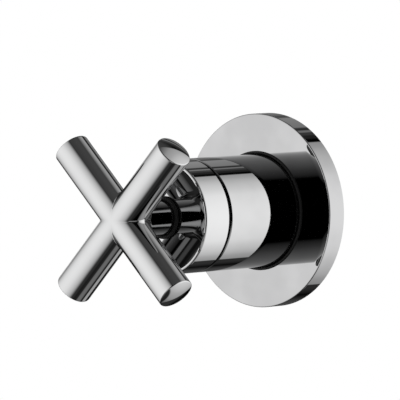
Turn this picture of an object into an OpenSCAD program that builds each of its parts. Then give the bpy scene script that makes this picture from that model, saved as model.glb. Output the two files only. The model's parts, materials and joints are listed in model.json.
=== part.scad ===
// Concealed two-way diverter valve with a cross handle.
// The valve axis runs along -Y, out of the wall towards the user, and the finished wall face is y = 0.
// Each piece is drawn along its own +Z, with z = 0 at the wall face, and axis_out() lays it on that axis.

/* [Escutcheon] */
// Outer diameter of the wall plate
plate_d = 72; // [66:0.5:80]
// Height of the wall plate's rim
plate_t = 7.7; // [6.5:0.1:10]
// Thickness of the wall plate's front wall
plate_wall = 2.4; // [1.6:0.1:3]
// Thickness of the wall plate's rim
rim_wall = 1.8; // [1.2:0.1:3]
// Radius of the wall plate's front edge
plate_edge = 0.45; // [0.2:0.05:0.8]
// Wall of the collar behind the plate, round the sleeve
collar_wall = 1.8; // [1.2:0.1:2.5]
// Section of the ring that seals the plate to the sleeve
plate_ring_d = 1.2; // [0.9:0.1:1.6]
// Depth of that ring's seat in the plate's face
plate_seat = 0.55; // [0.3:0.05:0.8]
// Width of the foam seal behind the rim
foam_w = 4; // [3:0.5:6]

/* [Sleeve] */
// Outer diameter of the sleeve
sleeve_d = 42; // [41:0.5:46]
// Wall of the sleeve in front of its thread
sleeve_wall = 1.6; // [1.2:0.1:2]
// Distance from the wall face to the sleeve's front end
sleeve_front = 44.4; // [42:0.1:60]
// Distance from the wall face to the sleeve's rear end
sleeve_back = 1.5; // [0.5:0.1:3]
// Length of the threaded bore in the sleeve's rear
sleeve_thread_l = 9; // [6:0.5:9]
// Chamfer on the sleeve's ends
sleeve_edge = 0.3; // [0.1:0.05:0.5]

/* [Handle cup] */
// Running gap between the sleeve and the handle's cup
cup_gap = 1.3; // [0.8:0.1:2]
// Length of the cup along the valve axis
cup_l = 12.5; // [11:0.1:20]
// Thickness of the cup's front wall
cup_face = 3; // [2:0.1:4]
// Wall of the cup's skirt
cup_wall = 1.8; // [1.4:0.1:2.2]
// Radius of the cup's front edge
cup_edge = 0.9; // [0.4:0.1:1.4]
// Thickness of the nut that clamps the cup
cup_nut_t = 4; // [3:0.5:5]
// Width of that nut across its flats
cup_nut_af = 17; // [15:0.5:22]
// Wall of the guide ring in the cup
guide_wall = 1.7; // [1.2:0.1:2]
// How far the guide ring reaches into the sleeve
guide_reach = 3; // [2:0.5:6]

/* [Cross] */
// Diameter of the cross's arms
arm_d = 13.5; // [12.5:0.1:15]
// Length from tip to tip of two opposite arms
cross_span = 74.4; // [64:0.2:84]
// Distance from the cup's face to the middle of the cross
cross_reach = 21.5; // [18:0.1:28]
// Turn of the first arm above the horizontal, at rest
arm_turn = 46.1; // [0:0.1:90]
// Radius of the edge round each arm's tip
tip_edge = 0.3; // [0.2:0.05:1]
// Rise of the domed tips
tip_rise = 0.8; // [0.3:0.05:1.2]
// Diameter of the stem behind the cross
stem_d = 12.9; // [12.5:0.1:13.5]
// Diameter of the stem's threaded spigot, inside the cup
spigot_d = 11.2; // [11:0.1:11.6]
// Chamfer on the stem's rear edge
stem_chamfer = 0.5; // [0.2:0.1:0.8]
// Section of the ring between the stem and the cup's face
stem_ring_d = 1.7; // [1.5:0.05:1.8]
// Diameter of the grub screw in the stem
grub_d = 4; // [3:0.5:5]
// Distance from the cup's face to the grub screw
grub_reach = 7.6; // [6:0.1:9]

/* [Spindle] */
// Diameter of the splined ends
spline_d = 8; // [7.8:0.1:8.2]
// Number of splines
spline_n = 20; // [12:1:24]
// Depth of the splines
spline_h = 0.35; // [0.2:0.05:0.45]
// Diameter of the spindle in its seals
spindle_d = 10.1; // [9.8:0.1:10.4]
// Section of the spindle's seals
spindle_ring_d = 1.44; // [1.2:0.02:1.6]
// Diameter of the extension's socket
socket_d = 13; // [12:0.5:14]
// Diameter of the screw in that socket
socket_screw_d = 3; // [2:0.5:4]
// Thickness of the spindle's clip
clip_t = 0.8; // [0.6:0.1:1]
// How far the clip stands out of the spindle
clip_w = 2; // [1.5:0.1:2.4]
// Diameter of the spindle's drive plate
drive_d = 19; // [17:0.5:20]
// Thickness of the drive plate
drive_t = 2.4; // [2:0.1:3]
// Length of the tang across the drive plate
tang_l = 13.4; // [11:0.2:16]
// Width of the tang
tang_w = 3; // [2.4:0.2:3.4]
// Height of the tang
tang_h = 1.3; // [1:0.1:1.6]

/* [Cartridge] */
// Diameter of the thread that holds the cartridge in the body
cartridge_d = 28; // [27:0.5:29]
// Diameter of the cartridge's skirt
skirt_d = 24.8; // [24:0.2:25]
// Wall of the skirt
skirt_wall = 1.5; // [1.2:0.1:1.7]
// Width of the cartridge's hexagon across its flats
hex_af = 24; // [22:0.5:25]
// Height of that hexagon
hex_h = 6.4; // [5:0.2:7]
// Diameter of the cartridge's neck
neck_d = 16; // [15:0.5:17]
// Diameter of the ring that the travel stop turns in
stop_d = 20.4; // [19:0.2:22]
// Angle that the handle turns through
travel = 90; // [45:1:120]
// Thickness of the fixed disc
stator_t = 4; // [3:0.5:5]
// Thickness of the turning disc
rotor_t = 4.5; // [4:0.5:6]
// Width of the ways through the discs
way_w = 4; // [3:0.1:4.4]
// Angle that each way spans
way_angle = 44; // [30:1:50]
// Rim left outside the ways
disc_rim = 2.2; // [1.8:0.1:2.6]
// Thickness of the friction washer
washer_t = 0.8; // [0.5:0.1:1.2]
// Thickness of the gasket under the fixed disc
gasket_t = 1.5; // [1:0.1:2]

/* [Body] */
// Outer diameter of the body's threaded neck
neck_thread_d = 35.2; // [34:0.2:36]
// Distance that the neck stands out of the wall
neck_out = 10; // [8:0.5:12]
// Outer diameter of the body's barrel
barrel_d = 37; // [35:0.5:40]
// Depth of the body behind the wall face
body_depth = 59; // [58:1:64]
// Diameter of the flange that stops at the wall
flange_d = 41; // [39:0.5:44]
// Inner diameter of the three threaded ports
port_d = 19.2; // [18.4:0.1:20]
// Wall of the ports
port_wall = 3; // [2.4:0.1:3.2]
// Length of the thread in each port
port_thread_l = 13; // [10:0.5:15]
// Distance from the valve axis to the face of each port
port_reach = 34; // [33:0.5:40]
// Width of the ports' ends across their flats
port_af = 26; // [25:0.5:28]
// Diameter of the waterways
way_d = 14; // [12:0.5:15]
// Depth of the two outlets behind the wall face
outlet_depth = 46; // [45:0.5:48]
// Depth of the inlet behind the wall face
inlet_depth = 23; // [22:0.5:25]
// Distance between the two fixing holes
lug_pitch = 62; // [58:0.5:70]
// Diameter of the fixing holes
lug_hole_d = 5.5; // [4:0.5:6.5]
// Wall round the fixing holes
lug_wall = 3.2; // [2.6:0.1:4]
// Thickness of the fixing lugs
lug_t = 4; // [3:0.5:6]

/* [Hidden] */
$fn = 96;
// clearances
fit = 0.1;        // radial gap of a thread or a sliding fit
touch = 0.02;     // gap of a piece that presses lightly on its neighbour
run = 0.4;        // gap between pieces that turn past each other
overcut = 1;      // how far a cutter passes a face
hole_fn = 48;     // sides of a small round hole or screw
section_fn = 32;  // sides of a seal's round section

plate_r = plate_d / 2;
sleeve_r = sleeve_d / 2;
sleeve_bore_r = sleeve_r - sleeve_wall;
plate_bore_r = sleeve_r + fit;
plate_inner_r = plate_r - rim_wall;
recess_z = plate_t - plate_wall;
collar_back = plate_t - 2 * plate_wall - fit;

neck_r = neck_thread_d / 2;
cup_back = sleeve_front + cup_gap;
cup_front = cup_back + cup_l;
cup_bore_r = sleeve_r - cup_wall;
cup_inside = cup_front - cup_face;
guide_r = cup_bore_r - fit;
guide_back = sleeve_front - guide_reach;

cross_z = cup_front + cross_reach;
arm_r = arm_d / 2;
arm_l = cross_span / 2;
stem_r = stem_d / 2;
spigot_r = spigot_d / 2;
stem_ring_r = stem_ring_d / 2;
stem_ring_out = 0.5;
stem_ring_mid = spigot_r + touch + stem_ring_r + stem_ring_out;
stem_seat = 0.25;
stem_end = cup_front + stem_ring_r + stem_seat;
spigot_past_nut = 2;
spigot_back = cup_inside - cup_nut_t - spigot_past_nut;
grub_z = cup_front + grub_reach;
grub_sink = 0.35;
grub_key_af = 2;

spline_r = spline_d / 2;
bore_spline_r = spline_r + fit;
rod_r = 5;
rod_front = spigot_back - run;
bore_short = 1.5;
stem_bore_front = cross_z - arm_r - bore_short;
end_gap = 1;
ext_front = stem_bore_front - end_gap;

// stations along the cartridge, from its seat in the body outwards
seat_below_inlet = 10;
seat_z = -inlet_depth - seat_below_inlet;
stator_back = seat_z + gasket_t;
stator_front = stator_back + stator_t;
rotor_front = stator_front + rotor_t;
drive_front = rotor_front + drive_t;
thrust_z = drive_front + washer_t;
thread_back = -14;
thread_front = -4;
cart_flange_t = 1.6;
hex_front = thread_front + cart_flange_t + hex_h;
housing_front = 13;
clip_back = housing_front + fit;
stop_back = clip_back + clip_t + fit;
stop_t = 2.2;
stop_tab_l = 6;
socket_back = stop_back + stop_t + fit;
spline_grip = 9;
spline_front = socket_back + spline_grip;
socket_head = 6;
socket_front = spline_front + socket_head;
socket_screw_z = (socket_back + spline_front) / 2;
socket_key_l = 1;

spindle_r = spindle_d / 2;
gland_r = spindle_r + fit;
spindle_ring_r = spindle_ring_d / 2;
groove_r = gland_r - 2 * spindle_ring_r - 2 * touch;
groove_play = 0.5;
groove_w = spindle_ring_d + groove_play;
ring_front_z = 8;
ring_back_z = 3;
clip_bite = 0.7;
clip_groove_r = spindle_r - clip_bite;
cartridge_r = cartridge_d / 2;
skirt_r = skirt_d / 2;
skirt_bore_r = skirt_r - skirt_wall;
disc_r = skirt_bore_r - 3 * fit;
thread_h = 0.4;
chamber_r = cartridge_r - thread_h;
cart_flange_w = 1.2;
cart_flange_r = cartridge_r + cart_flange_w;
hex_well_r = cart_flange_r + 2 * fit;
cart_ring_d = 1.4;
neck_out_r = neck_d / 2;
stop_r = stop_d / 2;

// turning parts of the travel stop, as angles about the valve axis
tab_angle = 24;
stop_slack = 1.5;
tab_rest = 90;
lug_from = tab_rest + tab_angle / 2 + stop_slack;
lug_to = tab_rest - travel - tab_angle / 2 - stop_slack + 360;

// the two ways through the discs lie a travel apart
way_mid_r = disc_r - disc_rim - way_w / 2;
way_a = 90 + travel / 2;
way_b = 90 - travel / 2;
window_past = 1;
window_lap = 0.5;

body_back = -body_depth;
outlet_z = -outlet_depth;
inlet_z = -inlet_depth;
port_r = port_d / 2;
way_r = way_d / 2;
boss_r = port_r + port_wall;
web = 3;
flange_t = 4;
flange_front = -4;
flange_back = flange_front - flange_t;
lug_r = lug_hole_d / 2 + lug_wall;
lug_back = flange_back - lug_t;
body_edge = 2.5;
neck_edge = 0.8;
chamfer_slope = tan(30);
chamfer_nick = 0.4;

chrome = "gainsboro";
brass = "goldenrod";
rubber = "#1c1c1c";

// points of an arc about (x, y), from angle a to angle b
function arc(x, y, r, a, b, n = 6) =
    [for (i = [0:n]) let (t = a + (b - a) * i / n) [x + r * cos(t), y + r * sin(t)]];

// points of a shallow dome, from its rim inwards: radius r, top at height z, edge radius e, rise h
function dome(r, z, e, h, n = 10) =
    let (flat_r = r - e, ball = (flat_r * flat_r + h * h) / (2 * h), half = asin(flat_r / ball))
    concat(
        arc(flat_r, z - h - e, e, 0, 90 - half, 5),
        [for (i = [1:n]) let (t = half * (1 - i / n)) [ball * sin(t), z - ball + ball * cos(t)]]
    );

// lays a piece drawn along +Z on the valve axis
module axis_out() rotate([90, 0, 0]) children();

// a round tube between two heights
module tube(outer, inner, from, to) {
    difference() {
        translate([0, 0, from]) cylinder(r = outer, h = to - from);
        translate([0, 0, from - overcut]) cylinder(r = inner, h = to - from + 2 * overcut);
    }
}

// a seal ring of round section
module ring(mid_r, section_r, z) {
    translate([0, 0, z]) rotate_extrude() translate([mid_r, 0]) circle(r = section_r, $fn = section_fn);
}

// a splined bar between two heights: the outline has a tooth and a root for each spline
module splined(r, from, to) {
    step = 360 / spline_n;
    outline = [
        for (i = [0:spline_n - 1], k = [0:3])
            let (a = step * (i + [0, 0.35, 0.5, 0.85][k]), q = k < 2 ? r : r - spline_h)
            [q * cos(a), q * sin(a)]
    ];
    translate([0, 0, from]) linear_extrude(to - from) polygon(outline);
}

// a sector of a tube between two radii, two angles and two heights
module tube_sector(inner, outer, a, b, from, to) {
    translate([0, 0, from]) rotate([0, 0, a])
        rotate_extrude(angle = b - a) translate([inner, 0]) square([outer - inner, to - from]);
}

// the kidney-shaped way through a disc, centred on an angle
module kidney(angle, from, to) {
    tube_sector(way_mid_r - way_w / 2, way_mid_r + way_w / 2,
        angle - way_angle / 2, angle + way_angle / 2, from, to);
}

// a hexagonal or octagonal bar of that width across its flats
module flats(af, sides, from, to) {
    translate([0, 0, from]) cylinder(r = af / 2 / cos(180 / sides), h = to - from, $fn = sides);
}

// such a bar with its corners turned off by a cone at the front end
module chamfered_flats(af, sides, from, to) {
    inner = af / 2 - chamfer_nick;
    outer = af / 2 / cos(180 / sides) + overcut;
    intersection() {
        flats(af, sides, from, to);
        rotate_extrude() polygon([
            [0, from - overcut], [outer, from - overcut],
            [outer, to - (outer - inner) * chamfer_slope], [0, to + inner * chamfer_slope],
        ]);
    }
}

// chunky wall plate, turned hollow behind, with a collar that slides on the sleeve
module escutcheon() {
    seat_r = sleeve_r + plate_ring_d;
    color(chrome) axis_out() rotate_extrude() polygon(concat(
        [[plate_inner_r, 0], [plate_r, 0]],
        arc(plate_r - plate_edge, plate_t - plate_edge, plate_edge, 0, 90),
        [
            [seat_r, plate_t], [seat_r, plate_t - plate_seat],
            [plate_bore_r, plate_t - plate_seat], [plate_bore_r, collar_back],
            [plate_bore_r + collar_wall, collar_back], [plate_bore_r + collar_wall, recess_z],
            [plate_inner_r, recess_z],
        ]
    ));
}

module escutcheon_ring() {
    section = plate_ring_d / 2 - touch;
    color(rubber) axis_out()
        ring(sleeve_r + plate_ring_d / 2, section, plate_t - plate_seat + section + touch);
}

// foam that seals the rim to the wall
module foam_seal() {
    outer = plate_inner_r - fit;
    color("dimgray") axis_out() tube(outer, outer - foam_w, 2 * fit, recess_z);
}

// drawn tube with a thicker, threaded rear end that screws on the body's neck
module sleeve() {
    thread_r = neck_r + fit;
    thread_front_z = sleeve_back + sleeve_thread_l;
    color(chrome) axis_out() rotate_extrude() polygon([
        [thread_r, sleeve_back], [sleeve_r - sleeve_edge, sleeve_back],
        [sleeve_r, sleeve_back + sleeve_edge], [sleeve_r, sleeve_front - sleeve_edge],
        [sleeve_r - sleeve_edge, sleeve_front], [sleeve_bore_r, sleeve_front],
        [sleeve_bore_r, thread_front_z + 2 * sleeve_wall], [thread_r, thread_front_z],
    ]);
}

// one arm of the cross, from the middle outwards, with a domed tip
module arm() {
    rotate([0, 90, 0]) rotate_extrude() polygon(concat(
        [[0, 0], [arm_r, 0]],
        dome(arm_r, arm_l, tip_edge, tip_rise)
    ));
}

// four crossing arms and a stem, cast as one piece, with a threaded spigot and a splined bore
module cross_handle() {
    color(chrome) axis_out() difference() {
        union() {
            translate([0, 0, cross_z]) for (i = [0:3]) rotate([0, 0, arm_turn + 90 * i]) arm();
            rotate_extrude() polygon([
                [0, spigot_back], [spigot_r, spigot_back], [spigot_r, stem_end],
                [stem_r - stem_chamfer, stem_end], [stem_r, stem_end + stem_chamfer],
                [stem_r, cross_z], [0, cross_z],
            ]);
        }
        splined(bore_spline_r, spigot_back - overcut, stem_bore_front);
        translate([0, 0, grub_z]) rotate([90, 0, 0])
            cylinder(r = grub_d / 2 + fit / 2, h = 2 * stem_r, $fn = hole_fn);
    }
}

// black ring squeezed between the stem's shoulder and the cup's face
module stem_ring() {
    color(rubber) axis_out() ring(stem_ring_mid, stem_ring_r, cup_front + stem_ring_r + touch);
}

// short cup that turns with the cross and carries on the line of the sleeve
module handle_cup() {
    color(chrome) axis_out() rotate_extrude() polygon(concat(
        [
            [spigot_r + fit, cup_front], [spigot_r + fit, cup_inside], [cup_bore_r, cup_inside],
            [cup_bore_r, cup_back], [sleeve_r - sleeve_edge, cup_back], [sleeve_r, cup_back + sleeve_edge],
        ],
        arc(sleeve_r - cup_edge, cup_front - cup_edge, cup_edge, 0, 90)
    ));
}

module cup_nut() {
    color(brass) axis_out() difference() {
        translate([0, 0, 2 * cup_inside - cup_nut_t]) mirror([0, 0, 1])
            chamfered_flats(cup_nut_af, 6, cup_inside - cup_nut_t, cup_inside);
        translate([0, 0, cup_inside - cup_nut_t - overcut])
            cylinder(r = spigot_r + fit, h = cup_nut_t + 2 * overcut);
    }
}

// black bearing ring, held in the cup and turning in the sleeve's mouth
module guide_ring() {
    color(rubber) axis_out() tube(guide_r, guide_r - guide_wall, guide_back, cup_inside);
}

// headless screw under the stem, with a hexagon socket
module grub_screw() {
    tip = spline_r + touch;
    head = stem_r - grub_sink;
    color("silver") axis_out() translate([0, 0, grub_z]) rotate([90, 0, 0]) difference() {
        translate([0, 0, tip]) cylinder(r = grub_d / 2, h = head - tip, $fn = hole_fn);
        flats(grub_key_af, 6, tip + (head - tip) / 3, head + overcut);
    }
}

// brass bar that carries the turn from the cartridge's spindle to the stem
module spindle_extension() {
    color(brass) axis_out() difference() {
        union() {
            translate([0, 0, socket_back]) cylinder(d = socket_d, h = socket_front - socket_back);
            translate([0, 0, socket_front]) cylinder(r = rod_r, h = rod_front - socket_front);
            splined(spline_r, rod_front, ext_front);
        }
        splined(bore_spline_r, socket_back - overcut, spline_front + fit);
        translate([0, 0, socket_screw_z]) rotate([90, 0, 0])
            cylinder(d = socket_screw_d + fit, h = socket_d, $fn = hole_fn);
    }
}

module extension_screw() {
    tip = spline_r + touch;
    color("silver") axis_out() translate([0, 0, socket_screw_z]) rotate([90, 0, 0]) difference() {
        translate([0, 0, tip]) cylinder(d = socket_screw_d, h = socket_d / 2 - tip, $fn = hole_fn);
        flats(socket_screw_d / 2, 6, socket_d / 2 - socket_key_l, socket_d / 2 + overcut);
    }
}

// cartridge spindle: drive plate with its tang, sealed shaft, clip groove and splined end
module spindle() {
    color(brass) axis_out() difference() {
        union() {
            translate([-tang_l / 2, -tang_w / 2, rotor_front - tang_h])
                cube([tang_l, tang_w, tang_h + drive_t / 2]);
            translate([0, 0, rotor_front]) cylinder(d = drive_d, h = drive_t);
            translate([0, 0, drive_front]) cylinder(r = spindle_r, h = stop_back - fit / 2 - drive_front);
            splined(spline_r, stop_back - fit, spline_front);
        }
        for (z = [ring_front_z, ring_back_z])
            tube(spindle_r + overcut, groove_r, z - groove_w / 2, z + groove_w / 2);
        tube(spindle_r + overcut, clip_groove_r, clip_back, clip_back + clip_t);
    }
}

module spindle_ring(z) {
    color(rubber) axis_out() ring(groove_r + spindle_ring_r + touch, spindle_ring_r, z);
}

// open spring clip that keeps the spindle in its housing
module spindle_clip() {
    gap_angle = 60;
    color("silver") axis_out() tube_sector(clip_groove_r + touch, spindle_r + clip_w,
        90 + gap_angle / 2, 450 - gap_angle / 2, clip_back + touch, clip_back + clip_t - touch);
}

// splined ring whose tab runs between the ends of the housing's stop
module stop_ring() {
    tab_in = neck_out_r + run;
    color(brass) axis_out() difference() {
        union() {
            translate([0, 0, stop_back]) cylinder(r = neck_out_r, h = stop_t);
            tube_sector(spindle_r, stop_r, tab_rest - tab_angle / 2, tab_rest + tab_angle / 2,
                stop_back, stop_back + stop_t);
            tube_sector(tab_in, stop_r, tab_rest - tab_angle / 2, tab_rest + tab_angle / 2,
                stop_back - stop_tab_l, stop_back + stop_t);
        }
        splined(bore_spline_r, stop_back - overcut, stop_back + stop_t + overcut);
    }
}

// brass headwork: windowed skirt, thread, flange, hexagon and sealed neck, with the stop round the neck
module cartridge_housing() {
    window_h = window_lap + rotor_t + window_past;
    color("khaki") axis_out() difference() {
        union() {
            translate([0, 0, stator_back]) cylinder(r = skirt_r, h = thread_back - stator_back);
            translate([0, 0, thread_back]) cylinder(r = cartridge_r, h = thread_front - thread_back);
            translate([0, 0, thread_front]) cylinder(r = cart_flange_r, h = cart_flange_t);
            chamfered_flats(hex_af, 6, thread_front + cart_flange_t, hex_front);
            translate([0, 0, hex_front]) cylinder(r = neck_out_r, h = housing_front - hex_front);
            tube_sector(neck_out_r - fit, stop_r, lug_from, lug_to, hex_front - fit, housing_front);
        }
        translate([0, 0, stator_back - overcut])
            cylinder(r = skirt_bore_r, h = thrust_z - stator_back + overcut);
        translate([0, 0, thrust_z - overcut])
            cylinder(r = gland_r, h = housing_front - thrust_z + 2 * overcut);
        for (a = [45:90:315]) rotate([0, 0, a])
            translate([0, -skirt_bore_r / 2, stator_front - window_lap])
                cube([2 * skirt_r, skirt_bore_r, window_h]);
        for (a = [0, 180]) rotate([0, 0, a]) translate([skirt_bore_r / 2, -tang_w / 2, stator_back - overcut])
            cube([skirt_r, tang_w, stator_t + overcut]);
    }
}

// seal under the housing's flange, in the corner of the body's mouth
module cartridge_ring() {
    section = cart_ring_d / 2 - touch;
    color(rubber) axis_out() ring(cartridge_r + cart_ring_d / 2, section, thread_front - cart_ring_d / 2);
}

module friction_washer() {
    color("ivory") axis_out() tube(drive_d / 2, spindle_r + fit, drive_front + touch, thrust_z - touch);
}

// turning ceramic disc, cut away over one way and slotted for the spindle's tang
module rotor_disc() {
    color("white") axis_out() difference() {
        translate([0, 0, stator_front]) cylinder(r = disc_r, h = rotor_t);
        tube_sector(way_mid_r - way_w / 2, disc_r + overcut, way_a - way_angle / 2, way_a + way_angle / 2,
            stator_front - overcut, rotor_front + overcut);
        translate([-disc_r, -tang_w / 2 - fit, rotor_front - tang_h - fit])
            cube([2 * disc_r, tang_w + 2 * fit, tang_h + fit + overcut]);
    }
}

// fixed ceramic disc, with two ways and two ears that key it to the housing
module stator_disc() {
    color("whitesmoke") axis_out() difference() {
        union() {
            translate([0, 0, stator_back]) cylinder(r = disc_r, h = stator_t);
            translate([-skirt_r, -tang_w / 2 + fit, stator_back])
                cube([2 * skirt_r, tang_w - 2 * fit, stator_t]);
        }
        for (a = [way_a, way_b]) kidney(a, stator_back - overcut, stator_front + overcut);
    }
}

module seat_gasket() {
    color(rubber) axis_out() difference() {
        translate([0, 0, seat_z]) cylinder(r = disc_r, h = gasket_t);
        for (a = [way_a, way_b]) kidney(a, seat_z - overcut, stator_back + overcut);
    }
}

// one port of the body, along its own +Z: a round boss that ends in chamfered flats
module port_boss() {
    cylinder(r = boss_r, h = port_reach - port_thread_l + overcut);
    chamfered_flats(port_af, 8, port_reach - port_thread_l, port_reach);
}

// the bore of one port, with its waterway, which starts that far from the valve axis
module port_bore(start) {
    translate([0, 0, port_reach - port_thread_l]) cylinder(r = port_r, h = port_thread_l + overcut);
    translate([0, 0, start]) cylinder(r = way_r, h = port_reach - start);
}

// lays a port along one of the three directions across the valve axis
module at_outlets() for (a = [-90, 90]) translate([0, 0, outlet_z]) rotate([0, a, 0]) children();
module at_inlet() translate([0, 0, inlet_z]) rotate([90, 0, 0]) children();

// plate behind the flange that reaches both fixing holes, its sides tangent to its round parts
module lug_plate(root_r) {
    lean = asin((root_r - lug_r) / (lug_pitch / 2));
    root = root_r * [sin(lean), cos(lean)];
    end = [lug_pitch / 2, 0] + lug_r * [sin(lean), cos(lean)];
    translate([0, 0, lug_back]) linear_extrude(lug_t) {
        for (s = [-1, 1]) translate([s * lug_pitch / 2, 0]) circle(r = lug_r);
        circle(r = root_r);
        polygon([
            root, end, [end.x, -end.y], [root.x, -root.y],
            -root, -end, [-end.x, end.y], [-root.x, root.y],
        ]);
    }
}

// cast brass body in the wall: barrel, threaded neck, two outlets, one inlet and two fixing lugs
module valve_body() {
    barrel_r = barrel_d / 2;
    color(brass) axis_out() difference() {
        union() {
            rotate_extrude() polygon(concat(
                [[0, flange_back], [0, body_back]],
                arc(barrel_r - body_edge, body_back + body_edge, body_edge, -90, 0),
                [[barrel_r, flange_back]]
            ));
            translate([0, 0, flange_back]) cylinder(d = flange_d, h = flange_t);
            rotate_extrude() polygon([
                [0, flange_front], [neck_r, flange_front], [neck_r, neck_out - neck_edge],
                [neck_r - neck_edge, neck_out], [0, neck_out],
            ]);
            at_outlets() port_boss();
            at_inlet() port_boss();
            lug_plate(barrel_r);
        }
        translate([0, 0, seat_z]) cylinder(r = chamber_r, h = thread_back - seat_z);
        translate([0, 0, thread_back - overcut / 2])
            cylinder(r = cartridge_r + fit, h = thread_front - thread_back);
        translate([0, 0, thread_front - cart_ring_d])
            cylinder(r = cartridge_r + cart_ring_d + touch, h = cart_ring_d + overcut);
        translate([0, 0, thread_front]) cylinder(r = hex_well_r, h = neck_out - thread_front + overcut);
        for (a = [way_a, way_b]) kidney(a, outlet_z, seat_z + overcut);
        at_outlets() port_bore(web / 2);
        at_inlet() port_bore(skirt_r - skirt_wall);
        for (s = [-1, 1]) translate([s * lug_pitch / 2, 0, lug_back - overcut])
            cylinder(d = lug_hole_d, h = lug_t + 2 * overcut, $fn = hole_fn);
    }
}

escutcheon();
escutcheon_ring();
foam_seal();
sleeve();
cross_handle();
stem_ring();
handle_cup();
cup_nut();
guide_ring();
grub_screw();
spindle_extension();
extension_screw();
spindle();
spindle_ring(ring_front_z);  // spindle_ring_front
spindle_ring(ring_back_z);  // spindle_ring_back
spindle_clip();
stop_ring();
cartridge_housing();
cartridge_ring();
friction_washer();
rotor_disc();
stator_disc();
seat_gasket();
valve_body();
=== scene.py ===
"""Looks of a concealed diverter valve: camera, studio, finishes and the pieces that are shaped here.

Lengths are in metres. -Y comes out of the wall towards the user, +Z is up, and the valve's axis is the Y
axis. Directions in the studio are degrees from -Y towards +X, and degrees above the horizontal.
"""

import json
import logging
import math
from dataclasses import dataclass
from enum import Enum

import bpy
import numpy as np
from mathutils import Matrix, Vector


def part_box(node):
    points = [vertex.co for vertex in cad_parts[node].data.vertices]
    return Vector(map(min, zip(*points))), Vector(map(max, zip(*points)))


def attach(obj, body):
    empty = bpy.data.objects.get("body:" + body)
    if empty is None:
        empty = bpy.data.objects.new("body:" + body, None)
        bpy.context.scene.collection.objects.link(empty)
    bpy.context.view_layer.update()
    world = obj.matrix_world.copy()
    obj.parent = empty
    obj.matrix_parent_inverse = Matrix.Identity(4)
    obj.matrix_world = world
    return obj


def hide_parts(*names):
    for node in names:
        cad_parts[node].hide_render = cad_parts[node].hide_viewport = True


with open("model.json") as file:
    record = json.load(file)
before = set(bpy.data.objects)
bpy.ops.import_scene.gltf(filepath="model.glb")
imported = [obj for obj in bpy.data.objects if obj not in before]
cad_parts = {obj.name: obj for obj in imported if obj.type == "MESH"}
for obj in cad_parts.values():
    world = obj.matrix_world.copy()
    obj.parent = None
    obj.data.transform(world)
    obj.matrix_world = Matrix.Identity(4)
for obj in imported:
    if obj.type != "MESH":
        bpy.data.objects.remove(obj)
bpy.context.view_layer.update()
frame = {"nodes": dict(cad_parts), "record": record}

LOG = logging.getLogger("diverter")
MM = 0.001

Colour = tuple[float, float, float]
Source = bpy.types.NodeSocket | float | tuple[float, ...]
Stops = tuple[tuple[float, float], ...]

WHITE: Colour = (1.0, 1.0, 1.0)
BLACK: Colour = (0.006, 0.006, 0.006)


class Body(str, Enum):
    """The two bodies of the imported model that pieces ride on."""

    VALVE = "valve"
    HANDLE = "handle"


class Slot(str, Enum):
    """The record's material slots."""

    CHROME = "chrome"
    BRASS = "brass"
    CAST_BRASS = "cast_brass"
    RUBBER = "rubber"
    FOAM = "foam"
    BLACK_PLASTIC = "black_plastic"
    WHITE_PLASTIC = "white_plastic"
    CERAMIC = "ceramic"
    STEEL = "steel"


class MixKind(Enum):
    """What a Mix node blends: its data type, and the numbers of its two inputs and its result."""

    COLOUR = ("RGBA", 6, 7, 2)
    VECTOR = ("VECTOR", 4, 5, 1)


def direction(azimuth: float, elevation: float) -> Vector:
    """Unit vector towards a place in the studio.

    Args:
        azimuth: degrees from -Y, the front, turning towards +X.
        elevation: degrees above the horizontal.

    Returns:
        The unit vector.
    """
    a, e = math.radians(azimuth), math.radians(elevation)
    return Vector((math.sin(a) * math.cos(e), -math.cos(a) * math.cos(e), math.sin(e)))


def place(name: str, data: bpy.types.ID) -> bpy.types.Object:
    """Adds an object to the scene.

    Args:
        name: its name.
        data: its mesh, lamp or camera.

    Returns:
        The object.
    """
    thing = bpy.data.objects.new(name, data)
    bpy.context.collection.objects.link(thing)
    return thing


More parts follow.
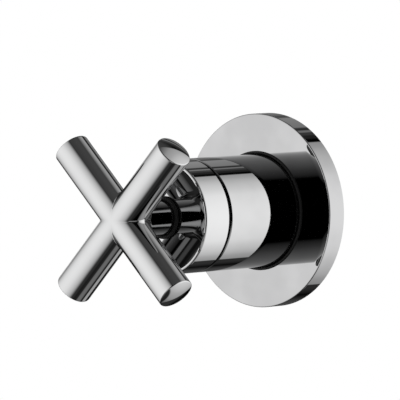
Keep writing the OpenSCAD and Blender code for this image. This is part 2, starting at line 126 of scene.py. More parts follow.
class Graph:
    """A small writer of shader nodes for one material or world."""

    def __init__(self, owner: bpy.types.ID) -> None:
        """Clears the owner's tree and keeps it.

        Args:
            owner: a material or a world.
        """
        owner.use_nodes = True
        self.tree = owner.node_tree
        self.tree.nodes.clear()

    def add(self, kind: str, **settings: object) -> bpy.types.Node:
        """Adds a node and sets its properties.

        Args:
            kind: the node's type, without the prefix ShaderNode.
            settings: properties of the node.

        Returns:
            The node.
        """
        node = self.tree.nodes.new("ShaderNode" + kind)
        for name, value in settings.items():
            setattr(node, name, value)
        return node

    def feed(self, node: bpy.types.Node, socket: str | int, source: Source) -> None:
        """Links a source to an input, or sets the input's own value.

        Args:
            node: the node that takes the value.
            socket: the input's name or number.
            source: an output socket, a number or a tuple.
        """
        if isinstance(source, bpy.types.NodeSocket):
            self.tree.links.new(source, node.inputs[socket])
        else:
            node.inputs[socket].default_value = source

    def math(self, operation: str, *values: Source) -> bpy.types.NodeSocket:
        """Adds a math node.

        Args:
            operation: the operation's name.
            values: output sockets or numbers, in order.

        Returns:
            The result's socket.
        """
        node = self.add("Math", operation=operation)
        for number, value in enumerate(values):
            self.feed(node, number, value)
        return node.outputs[0]

    def position(self) -> bpy.types.NodeSocket:
        """Returns the object's own coordinates, which are the model's frame."""
        return self.add("TexCoord").outputs["Object"]

    def split(self, vector: bpy.types.NodeSocket) -> list[bpy.types.NodeSocket]:
        """Returns the x, y and z of a vector."""
        node = self.add("SeparateXYZ")
        self.feed(node, 0, vector)
        return list(node.outputs)

    def length(self, a: bpy.types.NodeSocket, b: bpy.types.NodeSocket) -> bpy.types.NodeSocket:
        """Returns the length of a flat vector with these two parts."""
        return self.math("SQRT", self.math("ADD", self.math("MULTIPLY", a, a), self.math("MULTIPLY", b, b)))

    def axis_distance(self) -> bpy.types.NodeSocket:
        """Returns the distance from the valve's axis."""
        x, _, z = self.split(self.position())
        return self.length(x, z)

    def noise(self, size: float, detail: float = 3.0, roughness: float = 0.5) -> bpy.types.NodeSocket:
        """Adds noise in the model's own coordinates.

        Args:
            size: the size of a patch, in metres.
            detail: octaves of finer noise.
            roughness: strength of the finer octaves.

        Returns:
            The noise's value, from 0 to 1 and mostly near 0.5.
        """
        node = self.add("TexNoise")
        self.feed(node, "Vector", self.position())
        self.feed(node, "Scale", 1.0 / size)
        self.feed(node, "Detail", detail)
        self.feed(node, "Roughness", roughness)
        return node.outputs["Fac"]

    def remap(self, value: bpy.types.NodeSocket, low: float, high: float,
              to_low: float, to_high: float) -> bpy.types.NodeSocket:
        """Maps one range on another, clamped and eased.

        Args:
            value: the value to map.
            low: start of the range that it comes from.
            high: end of that range.
            to_low: result at low.
            to_high: result at high.

        Returns:
            The mapped value.
        """
        node = self.add("MapRange", interpolation_type="SMOOTHSTEP")
        for name, number in (("Value", value), ("From Min", low), ("From Max", high),
                             ("To Min", to_low), ("To Max", to_high)):
            self.feed(node, name, number)
        return node.outputs[0]

    def blend(self, factor: Source, first: Source, second: Source,
              kind: MixKind = MixKind.COLOUR) -> bpy.types.NodeSocket:
        """Mixes two colours or two vectors.

        Args:
            factor: share of the second one.
            first: the first one.
            second: the second one.
            kind: whether they are colours or vectors.

        Returns:
            The mixed colour or vector.
        """
        data_type, first_input, second_input, result = kind.value
        node = self.add("Mix", data_type=data_type)
        self.feed(node, 0, factor)
        self.feed(node, first_input, first)
        self.feed(node, second_input, second)
        return node.outputs[result]

    def bump(self, height: bpy.types.NodeSocket, depth: float,
             under: bpy.types.NodeSocket | None = None) -> bpy.types.NodeSocket:
        """Turns a height into a normal.

        Args:
            height: the height, from 0 to 1.
            depth: how deep the relief is, in metres.
            under: a normal that this relief lies on.

        Returns:
            The normal.
        """
        node = self.add("Bump")
        self.feed(node, "Height", height)
        self.feed(node, "Distance", depth)
        if under is not None:
            self.feed(node, "Normal", under)
        return node.outputs[0]

    def surface(self, **inputs: Source) -> None:
        """Ends a material in a principled surface.

        Args:
            inputs: its inputs, with underscores for spaces.
        """
        shader = self.add("BsdfPrincipled")
        for name, value in inputs.items():
            self.feed(shader, name.replace("_", " "), value)
        out = self.add("OutputMaterial")
        self.feed(out, 0, shader.outputs[0])


def rgba(colour: Colour, share: float = 1.0) -> tuple[float, float, float, float]:
    """Returns a colour scaled by a share, and opaque."""
    return (colour[0] * share, colour[1] * share, colour[2] * share, 1.0)


@dataclass(frozen=True)
class Patches:
    """Soft patches that vary a finish over its surface.

    The finish has its least value where the noise is below low, and its most where the noise is above high.
    """

    size: float
    low: float
    high: float
    detail: float = 3.0
    roughness: float = 0.6

    def build(self, g: Graph, least: float, most: float) -> bpy.types.NodeSocket:
        """Adds the patches to a finish.

        Args:
            g: the finish's graph.
            least: result where the noise is low.
            most: result where the noise is high.

        Returns:
            The varied value.
        """
        return g.remap(g.noise(self.size, self.detail, self.roughness), self.low, self.high, least, most)


@dataclass(frozen=True)
class Chrome:
    """Mirror-polished chrome plate, with the faint haze and ripple that buffing leaves."""

    name: str = "polished_chrome"
    colour: Colour = (0.86, 0.862, 0.865)
    polish: float = 0.015
    haze: float = 0.04
    haze_patches: Patches = Patches(9 * MM, 0.45, 0.75, detail=5.0)
    dullest: float = 0.975
    dull_patches: Patches = Patches(18 * MM, 0.35, 0.65)
    ripple_size: float = 6 * MM
    ripple_detail: float = 1.0
    ripple_depth: float = 0.0015 * MM

    def relief(self, g: Graph) -> bpy.types.NodeSocket:
        """Returns the normal, with the ripple on it."""
        return g.bump(g.noise(self.ripple_size, self.ripple_detail), self.ripple_depth)

    def build(self) -> bpy.types.Material:
        """Returns the material."""
        material = bpy.data.materials.new(self.name)
        g = Graph(material)
        haze = self.haze_patches.build(g, self.polish, self.haze)
        bright = self.dull_patches.build(g, 0.0, 1.0)
        tint = g.blend(bright, rgba(self.colour, self.dullest), rgba(self.colour))
        g.surface(Base_Color=tint, Metallic=1.0, Roughness=haze, Normal=self.relief(g))
        return material


@dataclass(frozen=True)
class RolledChrome(Chrome):
    """Chrome on a round plate whose buffed face rolls off a little towards its rim.

    The roll would end past the rim, so the face still leans where the rim cuts it off.
    """

    roll_from: float = 33.4 * MM
    roll_to: float = 39.0 * MM
    roll_depth: float = 0.24 * MM

    def relief(self, g: Graph) -> bpy.types.NodeSocket:
        """Returns the normal, with the ripple on the rolled face."""
        height = g.remap(g.axis_distance(), self.roll_from, self.roll_to, 1.0, 0.0)
        rolled = g.bump(height, self.roll_depth)
        return g.bump(g.noise(self.ripple_size, self.ripple_detail), self.ripple_depth, rolled)


@dataclass(frozen=True)
class TurnedMetal:
    """Metal turned on a lathe about the valve's axis, with fine tool marks and a dull oxide."""

    name: str
    colour: Colour
    tarnish: Colour
    roughness: float = 0.28
    feed_pitch: float = 0.22 * MM
    mark_depth: float = 0.006 * MM
    spots: Patches = Patches(4 * MM, 0.42, 0.7, detail=4.0)
    most_tarnish: float = 0.6
    wear: Patches = Patches(2 * MM, 0.3, 0.7, roughness=0.5)
    most_wear: float = 0.14

    def build(self) -> bpy.types.Material:
        """Returns the material."""
        material = bpy.data.materials.new(self.name)
        g = Graph(material)
        _, y, _ = g.split(g.position())
        along = g.math("ADD", y, g.axis_distance())
        turns = g.math("SINE", g.math("MULTIPLY", along, 2 * math.pi / self.feed_pitch))
        marks = g.bump(g.remap(turns, -1.0, 1.0, 0.0, 1.0), self.mark_depth)
        colour = g.blend(self.spots.build(g, 0.0, self.most_tarnish), rgba(self.colour), rgba(self.tarnish))
        shine = self.wear.build(g, self.roughness, self.roughness + self.most_wear)
        g.surface(Base_Color=colour, Metallic=1.0, Roughness=shine, Normal=marks)
        return material


@dataclass(frozen=True)
class CastBrass:
    """Sand-cast and blasted brass, bright and smooth where the ports, flange and neck were machined.

    The port face lies just inside the faces of the three ports, and the flange face just behind the flange's
    own. What lies past them was machined. Only the lugs reach past the ports by more than the margin, and
    they stay as cast.
    """

    cast: Colour = (0.72, 0.55, 0.30)
    shade: Colour = (0.54, 0.40, 0.20)
    patches: Patches = Patches(12 * MM, 0.35, 0.65, detail=4.0)
    cut: Colour = (0.88, 0.70, 0.39)
    port_face: float = 33.9 * MM
    port_margin: float = 0.2 * MM
    flange_face: float = 4.1 * MM
    grain: float = 0.5 * MM
    grain_detail: float = 4.0
    grain_roughness: float = 0.65
    grain_depth: float = 0.1 * MM
    cast_roughness: float = 0.55
    cut_roughness: float = 0.28

    def build(self) -> bpy.types.Material:
        """Returns the material."""
        material = bpy.data.materials.new("cast_brass")
        g = Graph(material)
        x, y, z = g.split(g.position())
        sides = g.math("GREATER_THAN", g.math("ABSOLUTE", x), self.port_face)
        foot = g.math("LESS_THAN", z, -self.port_face)
        front = g.math("LESS_THAN", y, self.flange_face)
        ends = g.math("MAXIMUM", g.math("MAXIMUM", sides, foot), front)
        lug = g.math("GREATER_THAN", g.math("ABSOLUTE", x), self.port_face + self.port_margin)
        cut = g.math("SUBTRACT", ends, g.math("MULTIPLY", lug, ends))
        rough_skin = g.bump(g.noise(self.grain, self.grain_detail, self.grain_roughness), self.grain_depth)
        skin = g.blend(self.patches.build(g, 0.0, 1.0), rgba(self.cast), rgba(self.shade))
        colour = g.blend(cut, skin, rgba(self.cut))
        gain = g.math("MULTIPLY", cut, self.cast_roughness - self.cut_roughness)
        shine = g.math("SUBTRACT", self.cast_roughness, gain)
        smooth = g.add("NewGeometry").outputs["Normal"]
        normal = g.blend(cut, rough_skin, smooth, MixKind.VECTOR)
        g.surface(Base_Color=colour, Metallic=1.0, Roughness=shine, Normal=normal)
        return material


@dataclass(frozen=True)
class Moulded:
    """Rubber, plastic, foam or ceramic: one body colour with fine grain and uneven gloss."""

    name: str
    colour: Colour
    roughness: float
    grain: float
    grain_depth: float
    mottle: float = 0.12
    specular: float = 0.5
    mottle_size: float = 3 * MM
    grain_detail: float = 3.0
    grain_roughness: float = 0.6
    gloss: Patches = Patches(1.5 * MM, 0.3, 0.7, roughness=0.5)
    gloss_span: tuple[float, float] = (-0.05, 0.08)

    def build(self) -> bpy.types.Material:
        """Returns the material."""
        material = bpy.data.materials.new(self.name)
        g = Graph(material)
        dark, pale = (rgba(self.colour, 1 + sign * self.mottle) for sign in (-1, 1))
        colour = g.blend(g.noise(self.mottle_size), dark, pale)
        shine = self.gloss.build(g, *(self.roughness + change for change in self.gloss_span))
        grain = g.bump(g.noise(self.grain, self.grain_detail, self.grain_roughness), self.grain_depth)
        g.surface(Base_Color=colour, Roughness=shine, Normal=grain, Specular_IOR_Level=self.specular)
        return material


Finish = Chrome | TurnedMetal | CastBrass | Moulded

FINISHES: dict[Slot, Finish] = {
    Slot.CHROME: Chrome(),
    Slot.BRASS: TurnedMetal("turned_brass", colour=(0.83, 0.64, 0.34), tarnish=(0.60, 0.43, 0.20)),
    Slot.CAST_BRASS: CastBrass(),
    Slot.RUBBER: Moulded("seal_rubber", BLACK, roughness=0.5, grain=0.3 * MM, grain_depth=0.01 * MM,
                         specular=0.25),
    Slot.FOAM: Moulded("closed_cell_foam", (0.10, 0.10, 0.105), roughness=0.85, grain=0.6 * MM,
                       grain_depth=0.25 * MM, mottle=0.3, specular=0.2),
    Slot.BLACK_PLASTIC: Moulded("bearing_plastic", BLACK, roughness=0.5, grain=0.25 * MM,
                                grain_depth=0.008 * MM, specular=0.2),
    Slot.WHITE_PLASTIC: Moulded("washer_plastic", (0.80, 0.79, 0.74), roughness=0.4, grain=0.25 * MM,
                                grain_depth=0.008 * MM, mottle=0.04),
    Slot.CERAMIC: Moulded("lapped_ceramic", (0.84, 0.83, 0.80), roughness=0.14, grain=0.1 * MM,
                          grain_depth=0.001 * MM, mottle=0.02),
    Slot.STEEL: TurnedMetal("plain_steel", colour=(0.62, 0.62, 0.63), tarnish=(0.45, 0.45, 0.46),
                            roughness=0.3),
}

# The plate, and less so the sleeve, look duller in the photograph than the handle does.
OWN_FINISHES: dict[str, Finish] = {
    "escutcheon": RolledChrome("plate_chrome", (0.70, 0.70, 0.705), dullest=0.90,
                               dull_patches=Patches(26 * MM, 0.35, 0.65)),
    "sleeve": Chrome("sleeve_chrome", (0.77, 0.772, 0.775), dullest=0.95),
}


class Wardrobe:
    """Makes each finish once and puts it on the nodes and pieces."""

    def __init__(self) -> None:
        """Builds every finish."""
        self.materials = {slot: finish.build() for slot, finish in FINISHES.items()}

    def dress_nodes(self) -> None:
        """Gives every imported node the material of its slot, or its own finish."""
        slots = {part["node"]: part["material_slot"] for part in frame["record"]["subparts"]}
        own = {name: finish.build() for name, finish in OWN_FINISHES.items()}
        for name, node in frame["nodes"].items():
            material = own.get(name) or self.materials[Slot(slots[name])]
            for holder in node.material_slots:
                holder.material = material
            LOG.info("node %s: %s", name, material.name)

    def dress(self, piece: bpy.types.Object, slot: Slot, body: Body) -> None:
        """Finishes a new piece and lets it ride.

        Args:
            piece: the piece.
            slot: the material slot that it takes.
            body: the body that it rides on.
        """
        piece.data.materials.clear()
        piece.data.materials.append(self.materials[slot])
        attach(piece, body.value)
        LOG.info("piece %s: %s, on %s", piece.name, slot.value, body.value)


@dataclass
class PhotoCamera:
    """The camera that took the photograph, fitted to the outlines of the plate, sleeve and cross."""

    azimuth: float = 43.085
    elevation: float = 3.871
    distance: float = 2.1978
    focal_pixels: float = 5946.9
    frame_pixels: float = 400.0
    sensor: float = 36.0
    aim_y: float = -20.53 * MM
    aim_right: float = -12.674 * MM
    aim_up: float = 4.563 * MM
    clip_end: float = 50.0

    def build(self) -> bpy.types.Object:
        """Returns the scene's camera."""
        back = direction(self.azimuth, self.elevation)
        right = direction(self.azimuth + 90.0, 0.0)
        up = back.cross(right)
        aim = Vector((0.0, self.aim_y, self.aim_up)) + right * self.aim_right
        data = bpy.data.cameras.new("photo_camera")
        data.sensor_fit = "HORIZONTAL"
        data.sensor_width = self.sensor
        data.lens = self.focal_pixels * self.sensor / self.frame_pixels
        data.clip_end = self.clip_end
        camera = place("photo_camera", data)
        turn = Matrix((right, up, back)).transposed().to_4x4()
        camera.matrix_world = Matrix.Translation(aim + back * self.distance) @ turn
        bpy.context.scene.camera = camera
        LOG.info("camera at azimuth %.1f, elevation %.1f", self.azimuth, self.elevation)
        return camera


def ramp(g: Graph, along: bpy.types.NodeSocket, stops: Stops) -> bpy.types.NodeSocket:
    """Adds a ramp of grey levels.

    Args:
        g: the graph.
        along: where on the ramp to look, from 0 to 1.
        stops: places and their light, in order.

    Returns:
        The light.
    """
    node = g.add("ValToRGB")
    g.feed(node, 0, along)
    elements = node.color_ramp.elements
    middle = 0.5
    while len(elements) < len(stops):
        elements.new(middle)
    for element, (position, light) in zip(elements, stops):
        element.position = position
        element.color = (light, light, light, 1.0)
    return node.outputs[0]


@dataclass(frozen=True)
class Glow:
    """A soft, round light surface of the studio as polished metal sees it.

    The stops give the light at each angle from the middle of the surface, from the outside in.
    """

    azimuth: float
    elevation: float
    stops: Stops

    def build(self, g: Graph, towards: bpy.types.NodeSocket) -> bpy.types.NodeSocket:
        """Adds the surface to the world.

        Args:
            g: the world's graph.
            towards: the direction that is looked up.

        Returns:
            Its light in that direction.
        """
        dot = g.add("VectorMath", operation="DOT_PRODUCT")
        g.feed(dot, 0, towards)
        g.feed(dot, 1, tuple(direction(self.azimuth, self.elevation)))
        stops = tuple((math.cos(math.radians(angle)), light) for angle, light in self.stops)
        return ramp(g, dot.outputs["Value"], stops)


@dataclass(frozen=True)
class EdgedGlow(Glow):
    """A light surface that ends at the edge of a screen on its left, and again towards the front.

    Its edge, foot and ends are parts of the unit direction that is looked up. The edge is an x: it leans with
    height above the valve, and stands upright at its least value below. The light comes in between the y
    values front and full, and little of it is left below the foot, a z.
    """

    edge: float = -0.165
    lean: float = 0.27
    least: float = -0.13
    softness: float = 0.012
    front: float = -0.22
    full: float = -0.1
    foot: float = -0.83
    under_foot: float = 0.05

    def build(self, g: Graph, towards: bpy.types.NodeSocket) -> bpy.types.NodeSocket:
        """Adds the surface to the world.

        Args:
            g: the world's graph.
            towards: the direction that is looked up.

        Returns:
            Its light in that direction.
        """
        x, y, z = g.split(towards)
        edge = g.math("MAXIMUM", g.math("ADD", g.math("MULTIPLY", z, self.lean), self.edge), self.least)
        inside = g.remap(g.math("SUBTRACT", x, edge), -self.softness, self.softness, 0.0, 1.0)
        behind = g.remap(y, self.front, self.full, 0.0, 1.0)
        above = g.remap(z, self.foot - self.softness, self.foot + self.softness, self.under_foot, 1.0)
        share = g.math("MULTIPLY", g.math("MULTIPLY", inside, behind), above)
        return g.math("MULTIPLY", super().build(g, towards), share)


@dataclass(frozen=True)
class Screens:
    """The edges of the screens behind the valve, which cross the metal as thin bands.

    The stops give the light at each angle about the valve's axis, in degrees from +X towards +Z. From -180 to
    180 degrees, they fill a ramp from 0 to 1. The bands come in between near and full, which are y values of
    the direction that is looked up.
    """

    stops: Stops
    near: float = 0.46
    full: float = 0.58

    def build(self, g: Graph, towards: bpy.types.NodeSocket) -> bpy.types.NodeSocket:
        """Adds the bands to the world.

        Args:
            g: the world's graph.
            towards: the direction that is looked up.

        Returns:
            Their light in that direction.
        """
        x, y, z = g.split(towards)
        turn = g.math("ARCTAN2", z, x)
        along = g.math("ADD", g.math("MULTIPLY", turn, 0.5 / math.pi), 0.5)
        stops = tuple((0.5 + angle / 360.0, light) for angle, light in self.stops)
        return g.math("MULTIPLY", ramp(g, along, stops), g.remap(y, self.near, self.full, 0.0, 1.0))


@dataclass(frozen=True)
class Lamp:
    """A soft square lamp that lights matt surfaces; the metal mirrors the light surfaces instead."""

    name: str
    azimuth: float
    elevation: float
    distance: float
    size: float
    power: float

    def build(self) -> None:
        """Adds the lamp and turns it towards the valve."""
        data = bpy.data.lights.new(self.name, "AREA")
        data.shape = "SQUARE"
        data.size = self.size
        data.energy = self.power
        lamp = place(self.name, data)
        back = direction(self.azimuth, self.elevation)
        lamp.location = back * self.distance
        lamp.rotation_euler = back.to_track_quat("Z", "Y").to_euler()
        lamp.visible_glossy = False


@dataclass
class Studio:
    """White backdrop and floor, soft lamps, and the light surfaces that the chrome mirrors.

    The light surfaces follow the reflections on the arms, sleeve, cup and caps. Up to the ray depth of the
    first mirror the camera sees metal itself, and past it metal in other metal. There the far key stands in
    for the key, side and left lights, and the mirrored share is what is left of the others.
    """

    wall_reach: float = 0.32
    wall_gap: float = 0.2 * MM
    floor_drop: float = 0.12
    floor_reach: float = 3.0
    floor_fade: tuple[float, float] = (0.35, 0.75)
    floor_colour: Colour = (0.86, 0.86, 0.86)
    floor_shade: float = 0.985
    floor_patch: float = 0.05
    floor_detail: float = 2.0
    ambient: float = 0.62
    first_mirror: float = 2.5
    mirrored_share: float = 0.35
    key: Glow = Glow(-41.0, -1.0, ((72, 0.0), (66, 0.13), (62, 0.29), (58, 0.40), (52, 0.52), (47, 0.59),
                                   (38, 0.70), (27, 0.81), (16, 0.86), (0, 0.89)))
    rear: EdgedGlow = EdgedGlow(137.0, -3.0, ((100, 0.0), (88, 0.02), (80, 0.04), (70.5, 0.045), (68.5, 0.11),
                                              (64.5, 0.22), (61.4, 0.32), (55, 0.42), (51, 0.53), (46, 0.63),
                                              (39, 0.73), (31, 0.86), (0, 0.96)))
    screens: Screens = Screens((
        (-180, 0.17), (-165, 0.10), (-150, 0.06), (-139, 0.05), (-133, 0.03), (-128, 0.015), (-122, 0.0),
        (93, 0.0), (96, 0.02), (100, 0.02), (101.5, 0.05), (106, 0.05), (107, 0.20), (109.5, 0.20),
        (110.5, 0.03), (115, 0.035), (117, 0.22), (142, 0.27), (146, 0.09), (150, 0.07), (154, 0.14),
        (168, 0.20), (180, 0.22)))
    ceiling: Glow = Glow(110.0, 84.0, ((46, 0.0), (38, 0.03), (34, 0.045), (22, 0.05), (0, 0.06)))
    table: Glow = Glow(128.0, -73.0, ((54, 0.0), (46, 0.03), (36, 0.03), (26, 0.012), (14, 0.02), (9, 0.14),
                                      (0, 0.16)))
    side: Glow = Glow(48.0, -38.0, ((30, 0.0), (24, 0.08), (18, 0.20), (10, 0.32), (0, 0.36)))
    left: Glow = Glow(-120.0, 5.0, ((20, 0.0), (14, 0.18), (8, 0.40), (0, 0.48)))
    far_key: Glow = Glow(-41.0, -1.0, ((68, 0.0), (65, 0.02), (58, 0.05), (51, 0.09), (43, 0.13), (36, 0.17),
                                       (28, 0.235), (20, 0.34), (12, 0.51), (0, 0.85)))
    lamps: tuple[Lamp, ...] = (
        Lamp("key_lamp", azimuth=-50.0, elevation=38.0, distance=1.3, size=0.9, power=11.0),
        Lamp("fill_lamp", azimuth=55.0, elevation=25.0, distance=1.6, size=1.1, power=7.0),
        Lamp("rear_lamp", azimuth=150.0, elevation=40.0, distance=1.4, size=0.9, power=9.0))

    def build(self) -> None:
        """Builds the world, the wall, the floor and the lamps."""
        scene = bpy.context.scene
        scene.view_settings.view_transform = "Standard"
        self._world(scene)
        self._wall()
        self._floor()
        for lamp in self.lamps:
            lamp.build()
            LOG.info("lamp %s: %.0f W", lamp.name, lamp.power)

    def _world(self, scene: bpy.types.Scene) -> None:
        """White for the camera and through glass, the light surfaces for metal, even light for the rest.

        Args:
            scene: the scene that gets the world.
        """
        world = bpy.data.worlds.new("studio")
        scene.world = world
        g = Graph(world)
        towards = g.add("TexCoord").outputs["Generated"]
        path = g.add("LightPath")
        again = g.math("GREATER_THAN", path.outputs["Ray Depth"], self.first_mirror)
        front = self.key.build(g, towards)
        for surface in (self.side, self.left):
            front = g.math("MAXIMUM", surface.build(g, towards), front)
        light = g.blend(again, front, self.far_key.build(g, towards))
        share = g.remap(again, 0.0, 1.0, 1.0, self.mirrored_share)
        for surface in (self.rear, self.screens, self.ceiling, self.table):
            light = g.math("MAXIMUM", g.math("MULTIPLY", surface.build(g, towards), share), light)
        glossy = g.blend(path.outputs["Is Glossy Ray"], rgba(WHITE, self.ambient), light)
        seen = g.math("MAXIMUM", path.outputs["Is Camera Ray"], path.outputs["Is Transmission Ray"])
        colour = g.blend(seen, glossy, rgba(WHITE))
        sky = g.add("Background")
        g.feed(sky, 0, colour)
        g.feed(sky, 1, 1.0)
        out = g.add("OutputWorld")
        g.feed(out, 0, sky.outputs[0])

    def _sheet(self, name: str, middle: Vector, right: Vector, up: Vector) -> bpy.types.Object:
        """Adds a flat stage sheet that metal doesn't mirror.

        Args:
            name: its name.
            middle: its middle.
            right: from its middle to its right edge, as seen from the side that shows.
            up: from its middle to its upper edge.

        Returns:
            The sheet.
        """
        signs = ((-1, -1), (1, -1), (1, 1), (-1, 1))
        corners = [middle + right * across + up * along for across, along in signs]
        mesh = bpy.data.meshes.new(name)
        mesh.from_pydata(corners, [], [tuple(range(len(corners)))])
        sheet = place(name, mesh)
        sheet.visible_glossy = False
        return sheet

    def _one_sided(self, g: Graph, shader: bpy.types.Node, cleared: Source = 0.0) -> None:
        """Ends a stage material so that its sheet shows from the front and is clear from behind.

        Args:
            g: the material's graph.
            shader: the shader of its front.
            cleared: how clear its front is, from 0 to 1.
        """
        clear = g.add("BsdfTransparent")
        mix = g.add("MixShader")
        g.feed(mix, 0, g.math("MAXIMUM", g.add("NewGeometry").outputs["Backfacing"], cleared))
        g.feed(mix, 1, shader.outputs[0])
        g.feed(mix, 2, clear.outputs[0])
        out = g.add("OutputMaterial")
        g.feed(out, 0, mix.outputs[0])

    def _wall(self) -> None:
        """A square of the finished wall, white and without a shadow.

        From the front it hides what is built into the wall. It is small enough to hide little from the sides.
        """
        middle = Vector((0.0, self.wall_gap, 0.0))
        right = Vector((self.wall_reach, 0.0, 0.0))
        up = Vector((0.0, 0.0, self.wall_reach))
        wall = self._sheet("wall", middle, right, up)
        material = bpy.data.materials.new("white_wall")
        g = Graph(material)
        glow = g.add("Emission")
        g.feed(glow, 0, rgba(WHITE))
        self._one_sided(g, glow)
        wall.data.materials.append(material)
        wall.visible_diffuse = False
        wall.visible_shadow = False

    def _floor(self) -> None:
        """A plain pale floor below the valve, which takes its shadow and fades out round it."""
        middle = Vector((0.0, 0.0, -self.floor_drop))
        right = Vector((self.floor_reach, 0.0, 0.0))
        away = Vector((0.0, self.floor_reach, 0.0))
        floor = self._sheet("floor", middle, right, away)
        material = bpy.data.materials.new("pale_floor")
        g = Graph(material)
        matt = g.add("BsdfDiffuse")
        patches = g.noise(self.floor_patch, self.floor_detail)
        tone = g.blend(patches, rgba(self.floor_colour, self.floor_shade), rgba(self.floor_colour))
        g.feed(matt, 0, tone)
        x, y, _ = g.split(g.position())
        self._one_sided(g, matt, g.remap(g.length(x, y), *self.floor_fade, 0.0, 1.0))
        floor.data.materials.append(material)


def rounded_cut(a: np.ndarray, b: np.ndarray, edge: float) -> np.ndarray:
    """Distance to what two solids share, with a round of that radius on their common edge.

    Args:
        a: distances to the first solid.
        b: distances to the second.
        edge: radius of the round.

    Returns:
        The distances.
    """
    corner = np.hypot(np.maximum(a + edge, 0.0), np.maximum(b + edge, 0.0))
    return np.minimum(np.maximum(a, b), -edge) + corner


def filleted_join(a: np.ndarray, b: np.ndarray, fillet: float | np.ndarray) -> np.ndarray:
    """Distance to two solids joined with a fillet.

    Args:
        a: distances to the first solid.
        b: distances to the second.
        fillet: radius of the fillet, one for all or one for each point.

    Returns:
        The distances.
    """
    corner = np.hypot(np.maximum(fillet - a, 0.0), np.maximum(fillet - b, 0.0))
    return np.maximum(np.minimum(a, b), fillet) - corner


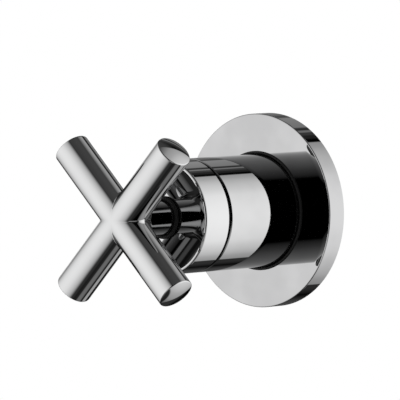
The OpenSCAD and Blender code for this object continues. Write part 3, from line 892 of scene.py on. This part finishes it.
@dataclass
class CrossHandle:
    """The four-armed handle, with the polished fillets that the casting has where its arms and stem meet.

    Distances along the valve's axis are measured out from the wall. The voxel and what follows it steer the
    meshing.
    """

    arm_radius: float = 6.75 * MM
    arm_reach: float = 37.2 * MM
    arm_turn: float = 46.1
    tip_edge: float = 0.3 * MM
    tip_rise: float = 0.8 * MM
    stem_radius: float = 6.45 * MM
    stem_seat: float = 1.1 * MM
    stem_edge: float = 0.45 * MM
    spigot_radius: float = 5.6 * MM
    bore_radius: float = 4.1 * MM
    bore_short: float = 1.5 * MM
    grub_radius: float = 2.05 * MM
    grub_edge: float = 0.15 * MM
    fillet: float = 1.3 * MM
    fillet_fade: float = 4.0
    stem_fillet: float = 2.6 * MM
    voxel: float = 0.36 * MM
    probe: float = 0.01 * MM
    passes: int = 6
    least_slope: float = 0.2
    least_area: float = 1e-9

    @property
    def hub(self) -> float:
        """How far the middle of the cross stands out, from the node's front."""
        return -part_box("cross_handle")[0][1] - self.arm_radius

    @property
    def stem_end(self) -> float:
        """Where the stem's rear end stands, off the cup's face."""
        return -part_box("handle_cup")[0][1] + self.stem_seat

    @property
    def spigot_back(self) -> float:
        """Where the spigot's rear end stands, from the node's back."""
        return -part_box("cross_handle")[1][1]

    @property
    def bore_depth(self) -> float:
        """Where the splined bore ends, short of the arms' backs."""
        return self.hub - self.arm_radius - self.bore_short

    @property
    def grub_at(self) -> float:
        """Where the grub screw's middle stands out."""
        low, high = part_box("grub_screw")
        return -(low[1] + high[1]) / 2

    def distance(self, p: np.ndarray) -> np.ndarray:
        """Signed distance to the handle's surface.

        Args:
            p: points, one in each row.

        Returns:
            A distance for each point, negative inside.
        """
        x, out, z = p[:, 0], -p[:, 1], p[:, 2]
        level = out - self.hub
        radius = np.hypot(x, z)
        stem = rounded_cut(radius - self.stem_radius, self.stem_end - out, self.stem_edge)
        solid = filleted_join(self._cross(x, level, z), np.maximum(stem, level), self.stem_fillet)
        spigot = np.maximum(radius - self.spigot_radius, self.spigot_back - out)
        solid = np.minimum(solid, np.maximum(spigot, level))
        bore = np.maximum(radius - self.bore_radius, out - self.bore_depth)
        grub = np.maximum(np.hypot(x, out - self.grub_at) - self.grub_radius, z)
        return rounded_cut(np.maximum(solid, -bore), -grub, self.grub_edge)

    def _cross(self, x: np.ndarray, level: np.ndarray, z: np.ndarray) -> np.ndarray:
        """Signed distance to the four arms.

        Their fillet fades to nothing at the front and back, where the two bars touch.

        Args:
            x: the points' x.
            level: the points' distance out from the hub.
            z: the points' z.

        Returns:
            The distances.
        """
        turn = math.radians(self.arm_turn)
        bars = [self._bar(x, level, z, turn + quarter * math.pi / 2) for quarter in (0, 1)]
        across = z * math.cos(turn) - x * math.sin(turn)
        along = x * math.cos(turn) + z * math.sin(turn)
        apart = np.hypot(across, level) * np.hypot(along, level)
        touching = level ** 2 / np.maximum(apart, self.least_area)
        return filleted_join(*bars, self.fillet * (1.0 - touching) ** self.fillet_fade)

    def _bar(self, x: np.ndarray, level: np.ndarray, z: np.ndarray, turn: float) -> np.ndarray:
        """Signed distance to two opposite arms, taken as one bar with domed tips.

        Args:
            x: the points' x.
            level: the points' distance out from the hub.
            z: the points' z.
            turn: the bar's angle above the horizontal.

        Returns:
            The distances.
        """
        along = np.abs(x * math.cos(turn) + z * math.sin(turn))
        across = z * math.cos(turn) - x * math.sin(turn)
        radius = np.hypot(across, level)
        flat = self.arm_radius - self.tip_edge
        ball = (flat ** 2 + self.tip_rise ** 2) / (2 * self.tip_rise)
        dome = np.hypot(along - (self.arm_reach - ball), radius) - ball
        return rounded_cut(radius - self.arm_radius, dome, self.tip_edge)

    def slope(self, p: np.ndarray) -> np.ndarray:
        """Returns the distance's gradient at each point."""
        parts = []
        for axis in range(3):
            shift = np.zeros(3)
            shift[axis] = self.probe
            parts.append((self.distance(p + shift) - self.distance(p - shift)) / (2 * self.probe))
        return np.stack(parts, axis=1)

    def _seed(self) -> bpy.types.Mesh:
        """Returns an even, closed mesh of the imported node, which the casting is drawn from."""
        seed = place("cross_seed", frame["nodes"]["cross_handle"].data.copy())
        remesh = seed.modifiers.new("remesh", "REMESH")
        remesh.mode = "VOXEL"
        remesh.voxel_size = self.voxel
        dense = seed.evaluated_get(bpy.context.evaluated_depsgraph_get())
        mesh = bpy.data.meshes.new_from_object(dense)
        bpy.data.objects.remove(seed)
        return mesh

    def _settle(self, mesh: bpy.types.Mesh) -> None:
        """Moves a mesh's points on to the handle's surface and sets their normals.

        Args:
            mesh: the mesh, near the surface.
        """
        points = np.zeros(len(mesh.vertices) * 3)
        mesh.vertices.foreach_get("co", points)
        points = points.reshape(-1, 3)
        for _ in range(self.passes):
            slope = self.slope(points)
            size = np.maximum((slope ** 2).sum(axis=1), self.least_slope)
            points -= (self.distance(points) / size)[:, None] * slope
        mesh.vertices.foreach_set("co", points.ravel())
        mesh.polygons.foreach_set("use_smooth", [True] * len(mesh.polygons))
        mesh.update()
        normals = self.slope(points)
        normals /= np.linalg.norm(normals, axis=1)[:, None]
        mesh.normals_split_custom_set_from_vertices(normals.tolist())

    def build(self, wardrobe: Wardrobe) -> bpy.types.Object:
        """Meshes the handle and puts it in its node's place.

        Args:
            wardrobe: the finishes.

        Returns:
            The piece.
        """
        mesh = self._seed()
        self._settle(mesh)
        piece = place("cross_casting", mesh)
        wardrobe.dress(piece, Slot.CHROME, Body.HANDLE)
        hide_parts("cross_handle")
        return piece


@dataclass
class PortThread:
    """The half-inch thread cut in one port of the body.

    Root is half the ridge's width at its foot, in pitches, and crest the share of that width at its top. The
    ridge rises and sinks again over the run-out steps at its ends.
    """

    name: str
    start: Vector
    outwards: Vector
    length: float = 12.4 * MM
    radius: float = 9.62 * MM
    pitch: float = 1.814 * MM
    depth: float = 0.75 * MM
    root: float = 0.49
    crest: float = 0.18
    steps: int = 72
    runout_steps: int = 18

    def build(self, wardrobe: Wardrobe) -> bpy.types.Object:
        """Sweeps the thread's ridge along its helix.

        Args:
            wardrobe: the finishes.

        Returns:
            The piece.
        """
        axis = self.outwards.normalized()
        side = axis.orthogonal().normalized()
        other = axis.cross(side)
        turns = (self.length - self.pitch) / self.pitch
        count = int(turns * self.steps)
        half = self.pitch * self.root
        profile = ((-half, 0.0), (-half * self.crest, 1.0), (half * self.crest, 1.0), (half, 0.0))
        corners = len(profile)
        points, faces = [], []
        for step in range(count + 1):
            angle = 2 * math.pi * step / self.steps
            along = self.pitch / 2 + self.pitch * step / self.steps
            runout = min(1.0, step / self.runout_steps, (count - step) / self.runout_steps)
            arm = side * math.cos(angle) + other * math.sin(angle)
            for shift, rise in profile:
                radius = self.radius - self.depth * rise * runout
                points.append(self.start + axis * (along + shift) + arm * radius)
        for step in range(count):
            for corner in range(corners):
                a = step * corners + corner
                b = step * corners + (corner + 1) % corners
                faces.append((a, b, b + corners, a + corners))
        faces.append(tuple(reversed(range(corners))))
        faces.append(tuple(count * corners + corner for corner in range(corners)))
        mesh = bpy.data.meshes.new(self.name)
        mesh.from_pydata(points, [], faces)
        mesh.update()
        piece = place(self.name, mesh)
        wardrobe.dress(piece, Slot.BRASS, Body.VALVE)
        return piece


@dataclass
class BodyCasting:
    """The brass body in the wall: threads in its three ports."""

    thread_inset: float = 12.8 * MM

    def build(self, wardrobe: Wardrobe) -> None:
        """Builds the threads from the record's mounts.

        Args:
            wardrobe: the finishes.
        """
        for mount in frame["record"]["mounts"]:
            if mount["kind"] != "threaded_hole":
                continue
            outwards = Vector(mount["axis"])
            mouth = Vector(mount["pos_m"]) + outwards * (mount["dims"]["length_mm"] / 2 * MM)
            start = mouth - outwards * self.thread_inset
            PortThread(mount["name"] + "_thread", start, outwards).build(wardrobe)


def main() -> None:
    """Builds the camera, the studio and the pieces, in that order."""
    logging.basicConfig(level=logging.INFO, format="%(name)s: %(message)s")
    PhotoCamera().build()
    Studio().build()
    wardrobe = Wardrobe()
    wardrobe.dress_nodes()
    CrossHandle().build(wardrobe)
    BodyCasting().build(wardrobe)


if __name__ == "__main__":
    main()
